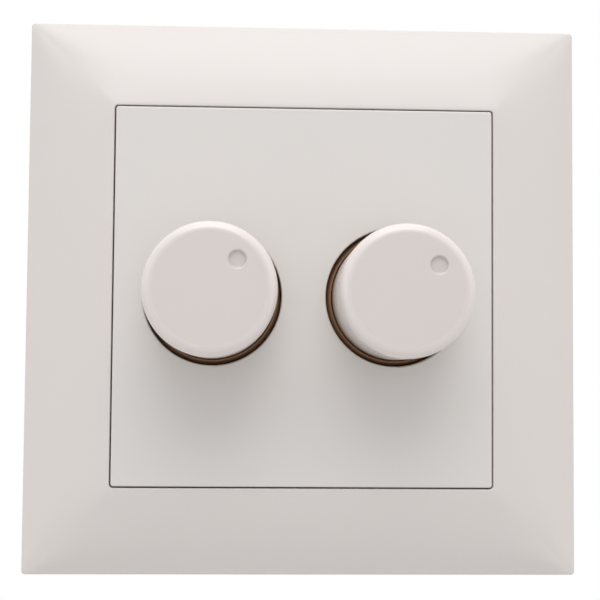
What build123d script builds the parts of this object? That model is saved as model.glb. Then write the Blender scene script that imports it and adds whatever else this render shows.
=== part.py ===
"""Twin rotary dimmer for a 60 mm flush box: two push-and-turn knobs in one cover.

Everything is drawn on the bench, lying on its back: x to the right, y up the wall, z out of the wall
towards the user, with z = 0 on the wall. write_node turns each piece upright, so that in the finished
model +Z is up, the knobs face -Y and the origin is the middle of the support plate's wall side.
All sizes are millimetres and angles are degrees.
"""

from build123d import *
import math
import os

# ---- cover frame ----
frame_side = 81.5
frame_opening = 55.6
frame_front = 8.8          # height of the opening's edge above the wall
frame_rim = 4.4            # height of the outer side walls
crown_r = 36.0             # the crown's arc: it leaves the opening already sloping
frame_wall = 2.0
frame_corner = 0.6
frame_edge = 0.25          # rounding where the crown meets the side walls
opening_edge = 0.15
opening_corner = 0.5
collar_wall = 1.5
collar_back = 4.2          # the collar's wall-side end, which the centre plate's flange clamps
web_thick = 1.2
web_back = 1.7             # the webs stop short of the support plate
web_offset = 12.0          # webs stand this far each side of the middle of a side

# ---- centre plate ----
plate_side = 55.15
plate_front = 9.0
plate_wall = 2.2
plate_corner = 0.4
plate_edge = 0.25
skirt_wall = 1.5
flange_side = 58.2
flange_thick = 1.0
well_d = 20.2
well_wall = 1.4
well_floor = 1.5
well_lip = 0.2
rib_thick = 1.2
knob_pitch = 26.6

# ---- knobs ----
knob_d = 18.3
knob_top = 25.0
knob_base = 5.0
knob_wall = 1.4
knob_face = 1.8
knob_edge = 1.3
hub_d = 8.6
hub_base = 7.9
hub_slit = 0.8
hub_slit_top = 16.0
knob_web = 1.0
knob_web_base = 17.0
dimple_reach = 5.4         # from the knob's axis to the pointer dimple
dimple_r = 1.15
dimple_depth = 0.5
dimple_lip = 0.28          # rounding of the dimple's edge
dimple_round = 0.2         # rounding where its wall meets its floor
pointer_left = 43.0        # clockwise from straight up, seen by the user
pointer_right = 50.0
push_travel = 1.0
clip_wall = 0.4
clip_base = 9.6
clip_height = 5.0
clip_gap = 2.2

# ---- support plate and film ----
support_side = 71.0
support_thick = 1.0
support_corner = 7.0
film_thick = 0.4
film_margin = 0.6          # the film stops this far inside the housing's outline
box_pitch = 60.0           # screw spacing of a 60 mm flush box
box_hole_r = 2.1
box_slot_sweep = 16.0      # the side slots are arcs, so that the plate can be turned level
tab_width = 6.0
tab_offset = 19.0
tab_height = 5.0
tab_clear = 0.2
access_hole_r = 2.2

# ---- potentiometers ----
bushing_d = 10.0
bushing_top = 6.3
bushing_clear = 0.15       # round the bushing, in the support plate and the well floor
pot_flange_d = 16.4
pot_flange_thick = 1.2
lug_wide = 2.4
lug_thick = 1.2
lug_reach = 7.0
lug_clear = 0.15
washer_d = 19.6            # a cupped fibre washer that covers the well's floor
washer_thick = 0.5
washer_lip_gap = 0.3       # between the knob and the washer's upstanding lip
washer_lip_depth = 1.5     # the lip ends this far behind the plate's front
nut_across = 12.0
nut_thick = 2.2
shaft_d = 6.0
shaft_top = 22.0
shaft_clear = 0.04
bore_clear = 0.02          # the knob's hub grips the shaft through its clip
shaft_flat = 4.5           # across the D of the knob end
shaft_flat_base = 12.0
tail_d = 5.0
tail_flats = 4.0           # across the two flats that turn the rotor
tail_clear = 0.05
ring_thick = 0.5
ring_d = 8.0
ring_gap = 2.6
case_d = 16.4
case_wall = 0.9
case_depth = 6.0
case_floor = 1.2
cover_wall = 0.3
cover_clear = 0.05
track_thick = 0.8
track_inner_d = 9.8
rotor_d = 13.8
rotor_thick = 1.0
rotor_hub_d = 9.0
run_gap = 0.05             # running gap between faces that slide on each other
wiper_thick = 0.25
wiper_inner_r = 4.8
wiper_outer_r = 6.6
wiper_sweep = 70.0
pin_wide = 1.0
pin_thick = 0.5
pot_pin_pitch = 2.5
pot_pin_start = 6.6        # the pins start this far from the axis, clear of the wiper
pot_pin_y = 9.2

# ---- push switches behind the potentiometers ----
switch_x = 12.6
switch_y = 10.4
switch_roof = 1.0
switch_floor = 1.0
switch_wall = 0.9
switch_depth = 6.1
plunger_d = 5.4
plunger_stem_d = 4.6
plunger_sink = 0.5         # the plunger's end lies this far below the switch roof
plunger_flange_x = 9.0
plunger_flange_y = 5.0
plunger_flange_thick = 1.0
plunger_stem_length = 2.0
spring_bore_d = 3.3
spring_d = 2.9
spring_wire = 0.35
spring_turns = 5
bridge_x = 10.2
bridge_y = 3.0
bridge_thick = 0.4
contact_x = 4.1
contact_pad = 1.8
contact_thick = 0.6

# ---- housing ----
housing_d = 56.0
housing_flat = 44.0        # across the two flats
housing_wall = 1.6
housing_depth = 24.0
housing_edge = 1.5
boss_x = 22.5
boss_y = 10.0
boss_d = 4.6
pilot_d = 1.9
screw_d = 2.2
screw_length = 8.0
screw_head_d = 4.2
vent_wide = 1.2
vent_length = 9.0
vent_pitch = 3.0
vent_count = 7

# ---- circuit board and what it carries ----
board_front = -14.0
board_thick = 1.4
board_gap = 0.4
lead_d = 0.8
thin_lead_d = 0.6
lead_clear = 0.1
lead_tail = 1.0            # leads stand this far out of the far side of the board
trimmer_y = 4.3
trimmer_side = 6.4
trimmer_height = 4.2
trimmer_rotor_d = 4.4
trimmer_rotor_height = 1.6
trimmer_recess = 1.0
spreader_x = 34.0
spreader_y = 10.4
spreader_thick = 1.5
spreader_low = 9.7
triac_wide = 9.9
triac_body = 9.0
triac_tab = 6.4
triac_thick = 4.4
triac_tab_thick = 1.3
triac_inner = 0.6
triac_hole = 2.9           # from the tab's end to its hole
triac_lead_pitch = 2.54
triac_lead_reach = 1.9
triac_screw_d = 2.9
triac_screw_head_d = 5.4
triac_screw_head = 1.8
film_cap_x = 13.0
film_cap_y = 8.4
film_cap_z = 6.2
film_cap_centre = (8.0, 14.6)
choke_d = 9.6
choke_hole_d = 5.2
choke_height = 4.4
winding_wall = 0.7
choke_centre = (9.4, -11.4)
choke_lead = (2.5, 2.8)     # where its two leads leave the ring
electrolytic_d = 6.3
electrolytic_height = 9.5
electrolytic_y = -10.9
fuse_length = 20.0
fuse_d = 5.0
fuse_cap_d = 5.2
fuse_cap_length = 5.0
fuse_y = -4.6
fuse_lift = 0.7            # gap between fuse and board
clip_sheet = 0.4
resistor_d = 2.4
resistor_length = 6.4
resistor_y = (1.4, 4.8, 9.3)

# ---- terminals ----
pole_count = 4
pole_pitch = 7.6
block_low = -20.2
block_deep = 8.6
block_height = 6.9
block_floor = 0.8
block_roof = 0.6
chamber_x = 5.8
chamber_y = 6.6
entry_side = 3.8
cage_x = 5.4
cage_y = 4.6
cage_z = 5.2
cage_wall = 0.9
cage_floor = 1.4           # the wall that the screw is threaded through
cage_setback = 0.5         # the cages stand this far towards the wire entries
terminal_screw_d = 3.0
terminal_head_d = 4.2
terminal_head = 1.2
terminal_bar_wide = 2.4
terminal_bar_thick = 0.8
terminal_leg = 1.0

# ---- worked out ----
film_back = -film_thick
pot_front = film_back                                  # the potentiometer's flange lies on the film
flange_back = pot_front - pot_flange_thick
case_back = flange_back - case_depth
cover_back = case_back - cover_wall
case_inside = case_back + case_floor
track_front = case_inside + track_thick
rotor_back = track_front + 0.6
rotor_front = rotor_back + rotor_thick
switch_front = cover_back
switch_back = switch_front - switch_depth
plunger_front = switch_front - plunger_sink
shaft_end = plunger_front
well_floor_back = support_thick
well_floor_front = support_thick + well_floor
board_back = board_front - board_thick
housing_back = film_back - housing_depth + film_thick
housing_inside = housing_back + housing_wall
flange_front = collar_back
flange_low = collar_back - flange_thick
knob_x = knob_pitch / 2
pole_xs = [(i - (pole_count - 1) / 2) * pole_pitch for i in range(pole_count)]
SIDES = {"left": (-1, pointer_left), "right": (1, pointer_right)}


def slab(wide, high, low, top, corner=0.0, x=0.0, y=0.0):
    """A flat block between two heights, with rounded upright edges."""
    outline = RectangleRounded(wide, high, corner) if corner else Rectangle(wide, high)
    return Pos(x, y, low) * extrude(outline, top - low)


def rod(diameter, low, top, x=0.0, y=0.0):
    """A round bar between two heights."""
    return Pos(x, y, low) * extrude(Circle(diameter / 2), top - low)


def tube(outer, inner, low, top, x=0.0, y=0.0):
    """A round tube between two heights."""
    return rod(outer, low, top, x, y) - rod(inner, low - 1, top + 1, x, y)


def joined(pieces):
    """One shape out of many that touch."""
    whole = pieces[0]
    for piece in pieces[1:]:
        whole = whole + piece
    return whole


def write_node(name, *solids):
    """Turns the solids from the bench onto the wall and writes them as one node."""
    upright = [Rot(90, 0, 0) * solid for shape in solids for solid in shape.solids()]
    export_step(upright[0] if len(upright) == 1 else Compound(children=upright), f"parts/{name}.step")


def crown_prism(shrink, length):
    """A long bar whose top is level over the opening and falls in an arc to the outer walls."""
    flat, half = frame_opening / 2, frame_side / 2
    run, fall = half - flat, frame_front - frame_rim
    chord = math.hypot(run, fall)
    sink = math.sqrt(crown_r ** 2 - (chord / 2) ** 2)
    centre_x = (flat + half) / 2 - sink * fall / chord
    centre_z = (frame_front + frame_rim) / 2 - sink * run / chord
    arc_r, edge = crown_r - shrink, half - shrink

    def on_arc(x):
        return centre_z + math.sqrt(arc_r ** 2 - (x - centre_x) ** 2)

    right = [(x, on_arc(x)) for x in (flat, (flat + edge) / 2, edge)]
    left = [(-x, z) for x, z in reversed(right)]
    outline = Curve() + [
        Polyline((edge, on_arc(edge)), (edge, -1), (-edge, -1), (-edge, on_arc(edge))),
        ThreePointArc(*left),
        Line(left[-1], right[0]),
        ThreePointArc(*right),
    ]
    section = make_face(Plane.XZ * outline)
    return extrude(section, length / 2, both=True)


def crown(shrink):
    """Two crossed bars, so that the four crowned sides meet in mitres."""
    bar = crown_prism(shrink, frame_side * 2)
    return bar & (Rot(0, 0, 90) * bar)


def frame_reach(edge):
    """How far an edge's middle is from the frame's middle, along the wall."""
    return max(abs(edge.center().X), abs(edge.center().Y))


def cover_frame():
    above_wall = slab(frame_side, frame_side, 0, frame_front + 1, frame_corner)
    inner_side = frame_side - 2 * frame_wall
    shell = crown(0) & above_wall
    shell -= crown(frame_wall) & slab(inner_side, inner_side, -1, frame_front, frame_corner)
    collar_side = frame_opening + 2 * collar_wall
    collar = slab(collar_side, collar_side, collar_back, frame_front - 1, opening_corner + collar_wall)
    half_inner, half_collar = inner_side / 2, collar_side / 2
    webs = []
    for turn in range(4):
        for shift in (-web_offset, web_offset):
            web = slab(half_inner - half_collar + 1, web_thick, web_back, frame_front - 1,
                       x=(half_inner + half_collar + 1) / 2, y=shift)
            webs.append(Rot(0, 0, 90 * turn) * web)
    inside = joined([collar] + webs) & crown(frame_wall / 2)
    frame = shell + inside
    frame -= slab(frame_opening, frame_opening, -1, frame_front + 1, opening_corner)
    outer = frame.edges().filter_by(
        lambda e: e.center().Z > frame_rim / 2 and frame_reach(e) > frame_side / 2 - frame_corner
        and abs(e.tangent_at(0.5).Z) < 0.9)
    frame = fillet(outer, frame_edge)
    mouth = frame.edges().filter_by(
        lambda e: e.center().Z > frame_front - 0.2 and frame_reach(e) < frame_opening / 2 + 0.05)
    return fillet(mouth, opening_edge)


def centre_plate():
    skirt_outer = plate_side
    skirt_inner = plate_side - 2 * skirt_wall
    front_low = plate_front - plate_wall
    plate = slab(plate_side, plate_side, front_low, plate_front, plate_corner)
    plate = fillet(plate.faces().sort_by(Axis.Z)[-1].edges(), plate_edge)
    skirt = slab(skirt_outer, skirt_outer, flange_low, front_low, plate_corner)
    skirt += slab(flange_side, flange_side, flange_low, flange_front, plate_corner)
    skirt -= slab(skirt_inner, skirt_inner, flange_low - 1, front_low, plate_corner)
    well_outer = well_d + 2 * well_wall
    pieces = [plate, skirt]
    for side, _ in SIDES.values():
        pieces.append(rod(well_outer, well_floor_back, front_low, side * knob_x))
    rib_low = flange_low
    pieces.append(slab(skirt_inner + 1, rib_thick, rib_low, front_low))
    for side in (-1, 0, 1):
        pieces.append(slab(rib_thick, skirt_inner + 1, rib_low, front_low, x=side * knob_x))
    body = joined(pieces)
    for side, _ in SIDES.values():
        x = side * knob_x
        body -= rod(well_d, well_floor_front, plate_front + 1, x)
        body -= rod(bushing_d + 2 * bushing_clear, -1, well_floor_front + 1, x)
    mouths = body.edges().filter_by(GeomType.CIRCLE).filter_by(
        lambda e: abs(e.center().Z - plate_front) < 0.01 and e.radius > well_d / 2 - 0.1)
    return fillet(mouths, well_lip)


def knob(side, pointer):
    body = rod(knob_d, knob_base, knob_top)
    body = fillet(body.edges().filter_by(GeomType.CIRCLE).sort_by(Axis.Z)[-1], knob_edge)
    inner_top = knob_top - knob_face
    body -= rod(knob_d - 2 * knob_wall, knob_base - 1, inner_top)
    webs = [Rot(0, 0, 45 + 90 * i) * slab(knob_d - knob_wall, knob_web, knob_web_base, inner_top)
            for i in range(2)]
    body += joined(webs) + rod(hub_d, hub_base, inner_top)
    for turn in (0, 90):
        body -= Rot(0, 0, turn) * slab(hub_d + 0.4, hub_slit, hub_base - 1, hub_slit_top)
    bore = shaft_d + 2 * bore_clear
    flat = shaft_flat - shaft_d / 2 + bore_clear
    cutter = rod(bore, hub_base - 1, shaft_top + 0.3)
    cutter -= slab(bore, bore, shaft_flat_base + 0.1, shaft_top + 1, y=-(flat + bore / 2))
    body -= cutter
    dish = rod(2 * dimple_r, knob_top - dimple_depth, knob_top + 1)
    dish = fillet(dish.edges().filter_by(GeomType.CIRCLE).sort_by(Axis.Z)[0], dimple_round)
    body -= Pos(0, dimple_reach, 0) * dish
    mouth = body.edges().filter_by(GeomType.CIRCLE).filter_by(lambda e: abs(e.radius - dimple_r) < 0.01)
    body = fillet(mouth, dimple_lip)
    return Pos(side * knob_x, 0, 0) * Rot(0, 0, -pointer) * body


def shaft_section(diameter, across, low, top):
    """A round bar with one flat: across is measured from the flat to the far side."""
    flat = across - diameter / 2
    return rod(diameter, low, top) - slab(diameter, diameter, low - 1, top + 1, y=-(flat + diameter / 2))


def two_flat_section(diameter, across, low, top):
    """A round bar with two opposite flats."""
    return rod(diameter, low, top) & slab(diameter + 1, across, low, top)


def knob_clip(side, pointer):
    ring = tube(hub_d + 2 * clip_wall, hub_d, clip_base, clip_base + clip_height)
    ring -= slab(clip_gap, hub_d, clip_base - 1, clip_base + clip_height + 1, y=hub_d / 2)
    return Pos(side * knob_x, 0, 0) * Rot(0, 0, -pointer) * ring


def shaft(side, pointer):
    body = shaft_section(shaft_d, shaft_flat, shaft_flat_base, shaft_top)
    body = chamfer(body.faces().sort_by(Axis.Z)[-1].edges(), 0.4)
    body += rod(shaft_d, flange_back, shaft_flat_base)
    body += rod(tail_d, flange_back - ring_thick - run_gap, flange_back)
    body += rod(shaft_d, flange_back - 2 * ring_thick - run_gap, flange_back - ring_thick - run_gap)
    body += two_flat_section(tail_d, tail_flats, shaft_end, flange_back - 2 * ring_thick - run_gap)
    return Pos(side * knob_x, 0, 0) * Rot(0, 0, -pointer) * body


def shaft_ring(side, pointer):
    top = flange_back - run_gap / 2
    ring = tube(ring_d, tail_d, top - ring_thick, top)
    ring -= slab(ring_gap, ring_d, top - ring_thick - 1, top + 1, y=ring_d / 2)
    return Pos(side * knob_x, 0, 0) * Rot(0, 0, -pointer) * ring


def bushing(side):
    body = rod(bushing_d, pot_front, bushing_top)
    body = chamfer(body.edges().filter_by(GeomType.CIRCLE).sort_by(Axis.Z)[-1], 0.5)
    body += rod(pot_flange_d, flange_back, pot_front)
    body += slab(lug_wide, lug_thick, pot_front - 0.2, support_thick - 0.2, y=lug_reach)
    body -= rod(shaft_d + 2 * shaft_clear, flange_back - 1, bushing_top + 1)
    return Pos(side * knob_x, 0, 0) * body


def seal_washer(side):
    low = well_floor_front
    flat = tube(washer_d, bushing_d + 2 * bushing_clear, low, low + washer_thick, side * knob_x)
    lip_inner = knob_d + 2 * washer_lip_gap
    return flat + tube(washer_d, lip_inner, low, plate_front - washer_lip_depth, side * knob_x)


def bushing_nut(side):
    low = well_floor_front + washer_thick
    hexagon = extrude(RegularPolygon(nut_across / 2, 6, major_radius=False), nut_thick)
    cone = extrude(Circle(nut_across / 2), nut_thick, taper=-60)
    turned = hexagon & (Pos(0, 0, nut_thick) * Rot(180, 0, 0) * cone)
    body = Pos(0, 0, low) * turned - rod(bushing_d + 0.1, low - 1, low + nut_thick + 1)
    return Pos(side * knob_x, 0, 0) * body


def pot_case(side):
    body = rod(case_d, case_back, flange_back)
    body -= rod(case_d - 2 * case_wall, case_inside, flange_back + 1)
    body -= rod(tail_d + 1.5, case_back - 1, case_inside + 1)
    for i in (-1, 0, 1):
        body -= slab(pin_wide + 0.2, 3, case_inside, track_front + pin_thick + 0.1,
                     x=i * pot_pin_pitch, y=case_d / 2 - 0.5)
    return Pos(side * knob_x, 0, 0) * body


def pot_cover(side):
    inner = case_d + 2 * cover_clear
    outer = inner + 2 * cover_wall
    body = rod(outer, cover_back, flange_back) - rod(inner, case_back, flange_back + 1)
    body -= rod(tail_d + 2, cover_back - 1, case_back + 1)
    window = 2 * pot_pin_pitch + pin_wide + 1
    body -= slab(window, 4, case_back, flange_back + 1, y=outer / 2)
    return Pos(side * knob_x, 0, 0) * body


def pot_track(side):
    body = tube(case_d - 2 * case_wall - 0.2, track_inner_d, case_inside, track_front)
    return Pos(side * knob_x, 0, 0) * body


def pot_pins(side):
    """Three flat pins, riveted on the track, that leave the case and turn back to the board."""
    foot = board_back - lead_tail
    start = pot_pin_start
    pins = []
    for i in (-1, 0, 1):
        x = side * knob_x + i * pot_pin_pitch
        flat = slab(pin_wide, pot_pin_y - start, track_front, track_front + pin_thick,
                    x=x, y=(pot_pin_y + start) / 2)
        drop = slab(pin_wide, pin_thick, foot, track_front + pin_thick, x=x, y=pot_pin_y)
        pins.append(flat + drop)
    return pins


def pot_rotor(side, pointer):
    body = rod(rotor_d, rotor_back, rotor_front)
    body += rod(rotor_hub_d, case_inside + run_gap, rotor_back)
    body -= two_flat_section(tail_d + 2 * tail_clear, tail_flats + 2 * tail_clear,
                             case_inside - 1, rotor_front + 1)
    return Pos(side * knob_x, 0, 0) * Rot(0, 0, -pointer) * body


def pot_wiper(side, pointer):
    """A spring leaf under the rotor with three fingers that run on the track."""
    leaf = tube(2 * wiper_outer_r, 2 * wiper_inner_r, rotor_back - wiper_thick, rotor_back)
    reach = 2 * wiper_outer_r
    spread = reach * math.tan(math.radians(wiper_sweep / 2))
    wedge = Pos(0, 0, rotor_back - 1) * extrude(
        make_face(Polyline((0, 0), (-spread, -reach), (spread, -reach), (0, 0))), 2)
    leaf = leaf & wedge
    fingers = []
    for radius in (wiper_inner_r + 0.3, (wiper_inner_r + wiper_outer_r) / 2, wiper_outer_r - 0.3):
        fingers.append(slab(0.8, 0.4, track_front + run_gap, rotor_back - wiper_thick, y=-radius))
    return Pos(side * knob_x, 0, 0) * Rot(0, 0, -pointer) * joined([leaf] + fingers)


def switch_case(side):
    body = slab(switch_x, switch_y, switch_back, switch_front, 0.6)
    inner_x, inner_y = switch_x - 2 * switch_wall, switch_y - 2 * switch_wall
    inside_low, inside_top = switch_back + switch_floor, switch_front - switch_roof
    body -= slab(inner_x, inner_y, inside_low, inside_top)
    body -= rod(plunger_d + 0.4, inside_top - 0.1, switch_front + 1)
    body += rod(spring_d - 2 * spring_wire - 0.5, inside_low, inside_low + 0.9)
    for i in (-1, 1):
        body += slab(contact_pad, bridge_y + 0.6, inside_low, contact_top() - contact_thick, x=i * contact_x)
        body -= slab(pin_wide + 0.1, pin_thick + 0.1, switch_back - 1, contact_top(), x=i * contact_x)
    return Pos(side * knob_x, 0, 0) * body


def bridge_back():
    return switch_front - switch_roof - run_gap - plunger_flange_thick - bridge_thick


def contact_top():
    """The fixed contacts meet the bridge at the end of the push."""
    return bridge_back() - push_travel - run_gap


def switch_plunger(side):
    flange_top = switch_front - switch_roof - run_gap
    flange_low_z = flange_top - plunger_flange_thick
    body = rod(plunger_d, flange_top, plunger_front)
    body += slab(plunger_flange_x, plunger_flange_y, flange_low_z, flange_top, 0.5)
    body += rod(plunger_stem_d, flange_low_z - plunger_stem_length / 2, flange_low_z)
    body -= rod(spring_bore_d, flange_low_z - plunger_stem_length, flange_top - 0.3)
    return Pos(side * knob_x, 0, 0) * body


def switch_bridge(side):
    body = slab(bridge_x, bridge_y + 2.6, bridge_back(), bridge_back() + bridge_thick, 0.4)
    body -= rod(plunger_stem_d, bridge_back() - 1, bridge_back() + bridge_thick + 1)
    return Pos(side * knob_x, 0, 0) * body


def switch_spring(side):
    """A coil of wire drawn with an eight-sided section."""
    top = switch_front - switch_roof - run_gap - 0.3
    low = switch_back + switch_floor
    height = top - low - spring_wire
    path = Helix(height / spring_turns, height, (spring_d - spring_wire) / 2)
    start = Plane(origin=path @ 0, z_dir=path % 0)
    coil = sweep(start * RegularPolygon(spring_wire / 2, 8), path, is_frenet=True)
    return Pos(side * knob_x, 0, low + spring_wire / 2) * coil


def switch_contacts(side):
    pins = []
    for i in (-1, 1):
        x = side * knob_x + i * contact_x
        pad = slab(contact_pad, bridge_y, contact_top() - contact_thick, contact_top(), x=x)
        leg = slab(pin_wide, pin_thick, board_back - lead_tail, contact_top() - contact_thick, x=x)
        pins.append(pad + leg)
    return pins


def arc_slot(radius, half_width, sweep_angle, low, top):
    """A slot that follows a circle round the middle, centred on the +x axis."""
    ring = tube(2 * (radius + half_width), 2 * (radius - half_width), low, top)
    reach = 2 * radius
    spread = reach * math.tan(math.radians(sweep_angle / 2))
    wedge = Pos(0, 0, low) * extrude(
        make_face(Polyline((0, 0), (reach, -spread), (reach, spread), (0, 0))), top - low)
    slot = ring & wedge
    for sign in (-1, 1):
        slot += Rot(0, 0, sign * sweep_angle / 2) * rod(2 * half_width, low, top, radius)
    return slot


def support_plate():
    body = slab(support_side, support_side, 0, support_thick)
    body = chamfer(body.edges().filter_by(Axis.Z), support_corner)
    tab_inner = frame_opening / 2 + collar_wall + tab_clear
    for turn in range(4):
        for shift in (-tab_offset, tab_offset):
            tab = slab(support_thick, tab_width, 0, support_thick + tab_height,
                       x=tab_inner + support_thick / 2, y=shift)
            body += Rot(0, 0, 90 * turn) * tab
    for turn in (0, 180):
        body -= Rot(0, 0, turn) * arc_slot(box_pitch / 2, box_hole_r, box_slot_sweep, -1, support_thick + 1)
    for sign in (-1, 1):
        body -= rod(2 * box_hole_r, -1, support_thick + 1, y=sign * box_pitch / 2)
        body -= rod(2 * access_hole_r, -1, support_thick + 1, y=sign * trimmer_y)
        body -= rod(triac_screw_d + 0.1, -1, support_thick + 1,
                    sign * (triac_inner + triac_hole), triac_centre_y())
        x = sign * knob_x
        body -= rod(bushing_d + 2 * bushing_clear, -1, support_thick + 1, x)
        body -= lug_hole(x, support_thick + 1)
    for x, y in boss_places():
        body -= screw_shape(0.1, x, y)
    return body


def boss_places():
    return [(sx * boss_x, sy * boss_y) for sx in (-1, 1) for sy in (-1, 1)]


def triac_centre_y():
    return spreader_low + spreader_y / 2


def lug_hole(x, top):
    return slab(lug_wide + 2 * lug_clear, lug_thick + 2 * lug_clear, -2, top, x=x, y=lug_reach)


def screw_shape(clear, x, y):
    """A countersunk screw, flush with the front of the support plate; clear grows it into its hole."""
    shank_r, head_r = screw_d / 2 + clear, screw_head_d / 2 + clear
    cone = Solid.make_cone(shank_r, head_r, support_thick, Plane((x, y, 0)))
    return Part() + cone + rod(2 * shank_r, support_thick - screw_length, 0, x, y)


def housing_outline(inset):
    return Circle(housing_d / 2 - inset) & Rectangle(housing_d, housing_flat - 2 * inset)


def outline_prism(inset, low, top):
    return Pos(0, 0, low) * extrude(housing_outline(inset), top - low)


def insulating_film():
    body = outline_prism(film_margin, film_back, 0)
    for sign in (-1, 1):
        x = sign * knob_x
        body -= rod(bushing_d + 2 * bushing_clear, -2, 1, x)
        body -= lug_hole(x, 1)
        body -= rod(2 * access_hole_r, -2, 1, y=sign * trimmer_y)
        body -= rod(triac_screw_d + 0.3, -2, 1, sign * (triac_inner + triac_hole), triac_centre_y())
    for x, y in boss_places():
        body -= rod(screw_d + 0.4, -2, 1, x, y)
    return body


def housing():
    body = outline_prism(0, housing_back, film_back)
    body = fillet(body.faces().sort_by(Axis.Z)[0].edges(), housing_edge)
    body -= outline_prism(housing_wall, housing_inside, film_back + 1)
    inner = outline_prism(housing_wall / 2, housing_inside - 0.5, film_back)
    for x, y in boss_places():
        body += rod(boss_d, housing_inside - 0.5, film_back, x, y) & inner
    for x, y in boss_places():
        body -= rod(pilot_d, support_thick - screw_length - 1, film_back + 1, x, y)
        body -= rod(screw_d + 0.1, support_thick - screw_length, film_back + 1, x, y)
    for i in range(vent_count):
        x = (i - (vent_count - 1) / 2) * vent_pitch
        body -= slab(vent_wide, housing_wall + 2, film_back - 4 - vent_length, film_back - 4,
                     x=x, y=housing_flat / 2)
    entry_z = cage_middle()
    for x in pole_xs:
        body -= slab(entry_side, housing_wall + 2, entry_z - entry_side / 2, entry_z + entry_side / 2,
                     x=x, y=-housing_flat / 2)
        body -= rod(terminal_head_d + 0.6, housing_back - 1, housing_inside + 1, x, screw_y())
    return body


def housing_screws():
    screws = []
    for x, y in boss_places():
        screw = screw_shape(0, x, y)
        for turn in (0, 90):
            screw -= Pos(x, y, 0) * Rot(0, 0, turn) * slab(2.4, 0.5, support_thick - 0.5, support_thick + 1)
        screws.append(screw)
    return screws


def board_lead_places():
    """Every round lead through the board: where it stands."""
    places = []
    for sign in (-1, 1):
        for i in (-1, 0, 1):
            places.append((triac_lead_x() * sign, triac_centre_y() + i * triac_lead_pitch))
        for i in (-1, 1):
            places.append((sign * film_cap_centre[0] + i * 5.0, film_cap_centre[1]))
            places.append((sign * choke_centre[0] + i * choke_lead[0], choke_centre[1] + choke_lead[1]))
            places.append((i * 1.25, electrolytic_y))
            places.append((i * 2.5, sign * (trimmer_y + 2.4)))
    return sorted(set(places))


def resistor_leads():
    return [(sx * (resistor_length / 2 + 1.6), y) for y in resistor_y for sx in (-1, 1)]


def circuit_board():
    body = outline_prism(housing_wall + board_gap, board_back, board_front)
    for x, y in boss_places():
        body -= slab(boss_d + 6, boss_d + 0.8, board_back - 1, board_front + 1,
                     x=x + math.copysign(3, x), y=y)
        body -= rod(boss_d + 0.8, board_back - 1, board_front + 1, x, y)
    for x, y in board_lead_places() + resistor_leads():
        body -= rod(lead_d + 2 * lead_clear, board_back - 1, board_front + 1, x, y)
    slots = []
    for sign in (-1, 1):
        for i in (-1, 0, 1):
            slots.append((sign * knob_x + i * pot_pin_pitch, pot_pin_y))
        for i in (-1, 1):
            slots.append((sign * knob_x + i * contact_x, 0))
            slots.append((i * fuse_clip_x(), fuse_y))
    for x, y in slots:
        body -= slab(pin_wide + 0.2, pin_thick + 0.2, board_back - 1, board_front + 1, x=x, y=y)
    for x in pole_xs:
        body -= slab(terminal_bar_thick + 0.2, terminal_leg + 0.2, board_back - 1, board_front + 1,
                     x=x, y=leg_y())
    return body


def heat_spreader():
    body = slab(spreader_x, spreader_y, film_back - spreader_thick, film_back, 1.0, y=triac_centre_y())
    body = body & outline_prism(housing_wall + 0.3, film_back - spreader_thick, film_back)
    for sign in (-1, 1):
        body -= rod(triac_screw_d + 0.3, -5, 1, sign * (triac_inner + triac_hole), triac_centre_y())
    return body


def triac_lead_x():
    return triac_inner + triac_tab + triac_body + triac_lead_reach


def triac(sign):
    """Tab, moulded body and three leads bent back to the board."""
    tab_front = film_back - spreader_thick
    tab_length = triac_tab + triac_body
    y = triac_centre_y()
    tab = slab(tab_length, triac_wide, tab_front - triac_tab_thick, tab_front,
               x=triac_inner + tab_length / 2, y=y)
    tab -= rod(triac_screw_d + 0.3, -6, 0, triac_inner + triac_hole, y)
    body_low = tab_front - triac_thick
    body = slab(triac_body, triac_wide, body_low, tab_front - triac_tab_thick,
                x=triac_inner + triac_tab + triac_body / 2, y=y)
    body = chamfer(body.faces().sort_by(Axis.Z)[0].edges(), 0.4)
    pieces = [tab, body]
    lead_z = tab_front - triac_thick / 2 - 0.5
    start_x = triac_inner + tab_length
    for i in (-1, 0, 1):
        lead_y = y + i * triac_lead_pitch
        reach = triac_lead_reach + lead_d / 2
        pieces.append(slab(reach + 0.2, lead_d, lead_z - lead_d / 2, lead_z + lead_d / 2,
                           x=start_x + (reach - 0.2) / 2, y=lead_y))
        pieces.append(rod(lead_d, board_back - lead_tail, lead_z, triac_lead_x(), lead_y))
    whole = joined(pieces)
    return whole if sign > 0 else mirror(whole, Plane.YZ)


def triac_screw(sign):
    x, y = sign * (triac_inner + triac_hole), triac_centre_y()
    seat = film_back - spreader_thick - triac_tab_thick
    head = rod(triac_screw_head_d, seat - triac_screw_head, seat, x, y)
    head = fillet(head.edges().sort_by(Axis.Z)[0], 0.5)
    head -= slab(triac_screw_head_d + 1, 0.8, seat - triac_screw_head - 1, seat - triac_screw_head + 0.7,
                 x=x, y=y)
    return head + rod(triac_screw_d, seat, support_thick, x, y)


def film_capacitor(sign):
    x, y = sign * film_cap_centre[0], film_cap_centre[1]
    low = board_front
    body = slab(film_cap_x, film_cap_y, low, low + film_cap_z, 0.5, x, y)
    body = fillet(body.faces().sort_by(Axis.Z)[-1].edges(), 0.5)
    for i in (-1, 1):
        body += rod(lead_d, board_back - lead_tail, low, x + i * 5.0, y)
    return body


def choke_core(sign):
    x, y = sign * choke_centre[0], choke_centre[1]
    low = board_front + winding_wall
    body = tube(choke_d, choke_hole_d, low, low + choke_height, x, y)
    return fillet(body.edges().filter_by(GeomType.CIRCLE), 0.4)


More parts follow.
